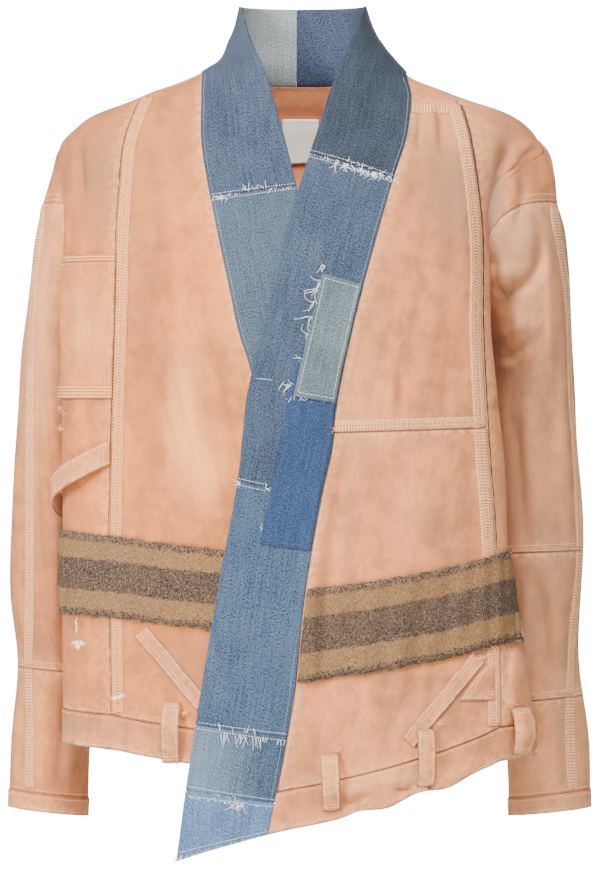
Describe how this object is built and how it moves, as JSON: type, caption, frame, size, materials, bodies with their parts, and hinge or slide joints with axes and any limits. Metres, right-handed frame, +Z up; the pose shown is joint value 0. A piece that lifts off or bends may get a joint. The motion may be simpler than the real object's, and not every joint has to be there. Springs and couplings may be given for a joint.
{
  "type": "patched jacket",
  "caption": "Wrap jacket pieced from washed tan canvas, with a denim neckband, wool blanket strips and patched, frayed seams.",
  "frame": {"origin": "base of the neck, at the middle of the neck opening, where the wearer's shoulders and neck carry the jacket", "axes": "+Z up along the standing wearer, from hem to neck; +Y from the chest to the back; +X to the wearer's left"},
  "size_m": [0.5897, 0.2694, 0.8519],
  "materials": {
    "canvas": "washed and faded cotton duck, tan-pink",
    "canvas_dark": "washed cotton duck, less faded at hems and straps",
    "indigo": "worn indigo denim",
    "mid_blue": "washed mid-blue denim",
    "grey_blue": "faded grey-blue denim",
    "pale_grey": "bleached grey denim",
    "bright_blue": "bright indigo denim",
    "sage": "grey-green washed denim, frayed",
    "wool": "felted wool blanket, heathered",
    "label": "bare woven cotton label"
  },
  "bodies": {
    "root": {"front_right_middle": "canvas", "front_right_side": "canvas", "front_left_yoke": "canvas", "front_left_upper": "canvas", "front_left_lower": "canvas", "front_left_side": "canvas", "back": "canvas", "sleeve_right_upper": "canvas", "sleeve_right_lower": "canvas", "sleeve_left_upper": "canvas", "sleeve_left_middle": "canvas", "sleeve_left_lower": "canvas", "tool_pocket_right": "canvas", "sleeve_right_cuff": "canvas_dark", "sleeve_left_cuff": "canvas_dark", "waistband_right_front": "canvas_dark", "waistband_left_front": "canvas_dark", "waistband_back": "canvas_dark", "belt_loop_right": "canvas_dark", "belt_loop_left_1": "canvas_dark", "belt_loop_left_2": "canvas_dark", "belt_loop_left_3": "canvas_dark", "hammer_loop": "canvas_dark", "pocket_mouth_right": "canvas_dark", "pocket_mouth_left": "canvas_dark", "coin_patch_left": "canvas_dark", "band_right_upper": "indigo", "band_left_upper": "indigo", "band_left_tip": "indigo", "band_left_middle": "mid_blue", "band_left_lower": "mid_blue", "band_right_lower": "grey_blue", "band_left_hem": "grey_blue", "band_back_right": "pale_grey", "band_back_left": "bright_blue", "patch_indigo": "bright_blue", "patch_sage": "sage", "blanket_strip_right": "wool", "blanket_strip_left": "wool", "neck_label": "label"}
  },
  "joints": []
}
